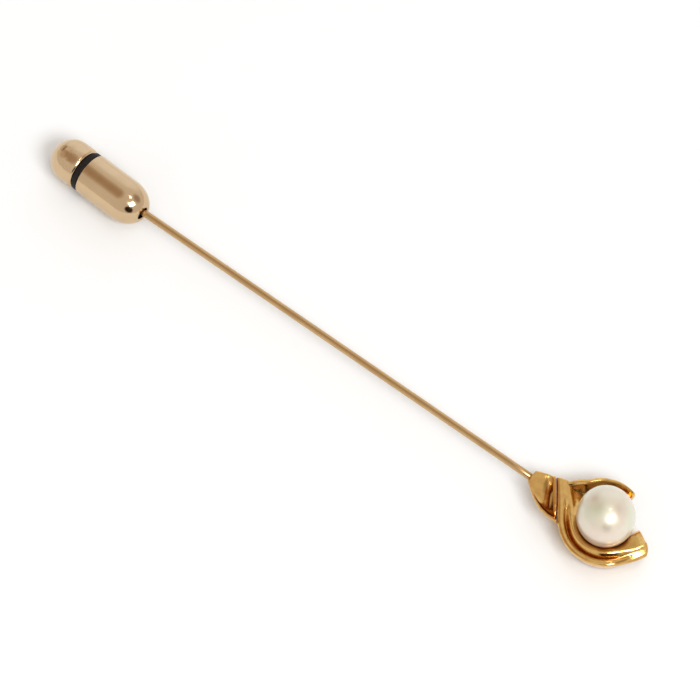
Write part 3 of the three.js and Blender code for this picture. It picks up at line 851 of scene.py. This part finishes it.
cage_start, cage_end, cage_bore, flange_radius = measured("cage")
cage_radius = measured("cap_disc")[2] - solder_gap
flange_thickness, running_gap = 0.25 * MM, 0.05 * MM
flange_end = spring_start - running_gap
flange_start = flange_end - flange_thickness
ball_low, ball_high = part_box("grip_ball_1")
ball_radius = (ball_high.z - ball_low.z) / 2
pocket_play = 0.04 * MM
cage_edge, flange_edge, flange_root = 0.04 * MM, 0.04 * MM, 0.02 * MM


def cage_mesh():
    """The turned tube with its three pockets drilled through from outside."""
    tube = turned_on_lathe("Ball_cage_tube", softened([
        (cage_start, cage_bore, cage_edge), (cage_start, cage_radius, 0.1 * MM),
        (flange_start, cage_radius, flange_root), (flange_start, flange_radius, flange_edge),
        (flange_end, flange_radius, flange_edge), (flange_end, cage_radius, flange_root),
        (cage_end, cage_radius, cage_edge), (cage_end, cage_bore, cage_edge)]), clutch, ring=True)
    for k in range(3):
        drill = turned_on_lathe("Drill", [(0, 0), (0, ball_radius + pocket_play),
                                          (2 * cage_radius, ball_radius + pocket_play), (2 * cage_radius, 0)],
                                clutch, sides=64)
        drill.data.transform(Matrix.Rotation(-math.tau * k / 3, 4, "X") @ upright)
        pocket = tube.modifiers.new("Pocket", "BOOLEAN")
        pocket.object = drill
        pocket.solver = "EXACT"
        bpy.context.view_layer.objects.active = tube
        bpy.ops.object.modifier_apply(modifier=pocket.name)
        bpy.data.objects.remove(drill)
    return tube


cage = cage_mesh()
cage.data.materials.append(turned_brass("Cage brass"))
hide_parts("cage")
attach(cage, "knob")

# ---- grip balls -----------------------------------------------------------------------------
# Three hard steel balls stand in the cage's pockets, round the wire. They roll up the cone and
# jam, and let go when the knob pulls them back.

ball_steel = (0.62, 0.61, 0.60)


def bearing_steel():
    """Hard steel ground to a mirror, with the faint tracks that the wire leaves."""
    finish, tree, shader = new_finish("Ball steel", ball_steel, 1, 0.06)
    tracks = grain(tree, (3, 3, 3), 4)
    tone = tinted(tree, tracks, [(0.3, darker(ball_steel, 0.85)), (0.6, ball_steel)])
    tree.links.new(tone, shader.inputs["Base Color"])
    tree.links.new(between(tree, tracks, 0.05, 0.16), shader.inputs["Roughness"])
    relief(tree, shader, grain(tree, (12, 12, 12), 4), 0.0006 * MM)
    return finish


mirror_steel = bearing_steel()
for k in range(1, 4):
    node = f"grip_ball_{k}"
    ball_low, ball_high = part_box(node)
    outline = [(-ball_radius * math.cos(math.pi * i / 24), ball_radius * math.sin(math.pi * i / 24))
               for i in range(1, 24)]
    outline = [(-ball_radius, 0), *outline, (ball_radius, 0)]
    middle = Matrix.Translation((ball_low + ball_high) / 2)
    ball = turned_on_lathe(f"Grip_ball_steel_{k}", outline, middle, sides=48)
    ball.data.materials.append(mirror_steel)
    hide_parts(node)
    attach(ball, f"ball_{k}")

# ---- seal ring ------------------------------------------------------------------------------
# A black rubber ring lies round the cage's neck between barrel and cap, and cushions the knob
# as it snaps back. It stands a little inside the casing.

ring_black = (0.006, 0.005, 0.004)
ring_dust = (0.025, 0.018, 0.012)


def black_rubber():
    """Matt black rubber with a fine skin and grey dust rubbed into it."""
    finish, tree, shader = new_finish("Black rubber", ring_black, 0, 0.55)
    shader.inputs["Specular IOR Level"].default_value = 0.2
    dust = grain(tree, (3, 3, 3), 5, 0.65)
    tone = tinted(tree, dust, [(0.45, ring_black), (0.85, ring_dust)])
    tree.links.new(tone, shader.inputs["Base Color"])
    tree.links.new(between(tree, dust, 0.45, 0.7), shader.inputs["Roughness"])
    relief(tree, shader, grain(tree, (14, 3, 3), 5), 0.01 * MM)
    return finish


seal = plain_ring("Seal_ring_rubber", "seal_ring", 0.14 * MM)
seal.data.materials.append(black_rubber())
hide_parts("seal_ring")
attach(seal, "knob")

# ---- cap disc -------------------------------------------------------------------------------
# The disc is a turned brass washer, pressed on the end of the cage's neck. It closes the cap,
# which is pressed over it, and so makes one knob of the cage and the cap.

disc = plain_ring("Cap_disc_ring", "cap_disc", 0.05 * MM)
disc.data.materials.append(turned_brass("Disc brass"))
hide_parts("cap_disc")
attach(disc, "knob")

# ---- cap shell ------------------------------------------------------------------------------
# The cap is a drawn gold-plated dome with a short straight skirt, pressed over the disc. It is
# what the fingers pull, so it is the most handled part: its dome is a little dented and dull.

cap_start, cap_end, _, cap_radius = measured("cap_shell")
cap_bore = cap_radius - casing_wall
skirt_end = cap_end - cap_radius
skirt_rounding = 0.42 * MM


def cap_outline():
    """The dome and its skirt, the rolled edge, and back along the inside."""
    dome = []
    for k in range(33):
        a = math.pi / 2 * k / 32
        dome.append((skirt_end + cap_radius * math.cos(a), cap_radius * math.sin(a) if k else 0, 0))
    inside = []
    for k in range(25):
        a = math.pi / 2 * (1 - k / 24)
        inside.append((skirt_end + cap_bore * math.cos(a), cap_bore * math.sin(a) if k < 24 else 0, 0))
    skirt = [(cap_start, cap_radius, skirt_rounding), (cap_start, cap_bore, 0.04 * MM)]
    return softened([*dome, *skirt, *inside])


cap = turned_on_lathe("Cap_casing", cap_outline(), clutch, sides=144)
cap_plate = plated_gold("Cap plate", gloss=0.11, scuffs=0.0014 * MM, dents=0.16 * MM, dented=0.6)
cap.data.materials.append(cap_plate)
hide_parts("cap_shell")
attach(cap, "knob")

# ---- table, light and camera ----------------------------------------------------------------
# The pin lies on a plain white table in a pale room. A broad window lights it from the right,
# a small lamp hangs above, and the camera looks down on it from the side.

table_half = 4.0
table_white = (0.9, 0.94, 0.97)
window_azimuth, window_elevation = 68, 48
window_wide, window_high = 0.62, 0.40
window_brightness = 12.5
window_light = (0.985, 0.985, 1.0)
lamp_azimuth, lamp_elevation = 118, 73
lamp_width = 0.16
lamp_brightness = 9.0
lamp_light = (1.0, 0.9, 0.68)
light_distance = 1.3
room_light = (0.80, 0.75, 0.71)
room_shapes = [
    # (azimuth, elevation, degrees to where it is full, degrees to where it ends, colour)
    (-70, 58, 1, 33, (0.47, 0.34, 0.24)),
    (-72, 33, 2, 24, (0.66, 0.54, 0.42)),
    (-103, 27, 3, 17, (0.34, 0.19, 0.11)),
    (-155, 16, 4, 42, (1.05, 1.06, 1.1)),
    (130, 42, 5, 24, (0.42, 0.34, 0.28)),
    (41, 21, 14, 20, (0.03, 0.016, 0.01)),
]
camera_azimuth, camera_elevation = 38.26, 60
camera_distance = 800 * MM
camera_aim = Vector((-34.92, 0.10, 2.45)) * MM
camera_sensor = 36.0
camera_lens = 378.8


def seen_from(azimuth, elevation):
    """The direction to a place in the room: azimuth 0 is on the -Y side, and 90 on the +X side."""
    a, e = math.radians(azimuth), math.radians(elevation)
    return Vector((math.sin(a) * math.cos(e), -math.cos(a) * math.cos(e), math.sin(e)))


def table_paper():
    """White paper, very slightly cloudy and without shine."""
    finish, tree, shader = new_finish("Table paper", table_white, 0, 0.8)
    fibre = grain(tree, (0.05, 0.05, 0.05), 3)
    dimmer = tuple(c - 0.005 for c in table_white)
    whiter = tuple(c + 0.005 for c in table_white)
    tone = tinted(tree, fibre, [(0.3, dimmer), (0.7, whiter)])
    tree.links.new(tone, shader.inputs["Base Color"])
    shader.inputs["Specular IOR Level"].default_value = 0.1
    return finish


bm = bmesh.new()
corners = [(x * table_half, y * table_half, 0) for x, y in ((-1, -1), (1, -1), (1, 1), (-1, 1))]
bm.faces.new([bm.verts.new(corner) for corner in corners])
table = made_of("Table", bm, Matrix.Translation((0, 0, min(0, cad_low.z))))
table.data.materials.append(table_paper())


def hang_light(name, azimuth, elevation, wide, high, brightness, colour):
    """A soft light of an even brightness, turned to the middle of the pin."""
    light = bpy.data.lights.new(name, "AREA")
    light.shape = "RECTANGLE"
    light.size, light.size_y = wide, high
    light.energy = brightness * math.pi * wide * high
    light.color = colour
    holder = bpy.data.objects.new(name, light)
    bpy.context.scene.collection.objects.link(holder)
    direction = seen_from(azimuth, elevation)
    holder.location = camera_aim + direction * light_distance
    holder.rotation_euler = direction.to_track_quat("Z", "Y").to_euler()
    holder.visible_camera = False


hang_light("Window", window_azimuth, window_elevation, window_wide, window_high, window_brightness,
           window_light)
hang_light("Lamp", lamp_azimuth, lamp_elevation, lamp_width, lamp_width, lamp_brightness, lamp_light)

room = bpy.data.worlds.new("Pale room")
bpy.context.scene.world = room
room.use_nodes = True
room_tree = room.node_tree
backdrop = room_tree.nodes["Background"]
look = room_tree.nodes.new("ShaderNodeTexCoord")
paint = None
for azimuth, elevation, full, end, colour in room_shapes:
    facing = room_tree.nodes.new("ShaderNodeVectorMath")
    facing.operation = "DOT_PRODUCT"
    facing.inputs[1].default_value = seen_from(azimuth, elevation)
    room_tree.links.new(look.outputs["Generated"], facing.inputs[0])
    mask = room_tree.nodes.new("ShaderNodeMapRange")
    mask.interpolation_type = "SMOOTHSTEP"
    mask.inputs["From Min"].default_value = math.cos(math.radians(end))
    mask.inputs["From Max"].default_value = math.cos(math.radians(full))
    room_tree.links.new(facing.outputs["Value"], mask.inputs["Value"])
    mixed = room_tree.nodes.new("ShaderNodeMix")
    mixed.data_type = "RGBA"
    mixed.inputs["A"].default_value = (*room_light, 1)
    mixed.inputs["B"].default_value = (*colour, 1)
    room_tree.links.new(mask.outputs["Result"], mixed.inputs["Factor"])
    if paint:
        room_tree.links.new(paint, mixed.inputs["A"])
    paint = mixed.outputs["Result"]
room_tree.links.new(paint, backdrop.inputs["Color"])

camera_data = bpy.data.cameras.new("Camera")
camera_data.sensor_width = camera_sensor
camera_data.lens = camera_lens
camera_data.clip_start, camera_data.clip_end = 0.01, 20
camera = bpy.data.objects.new("Camera", camera_data)
bpy.context.scene.collection.objects.link(camera)
back = seen_from(camera_azimuth, camera_elevation)
camera.location = camera_aim + back * camera_distance
camera.rotation_euler = back.to_track_quat("Z", "Y").to_euler()
bpy.context.scene.camera = camera
bpy.context.scene.view_settings.view_transform = "Standard"
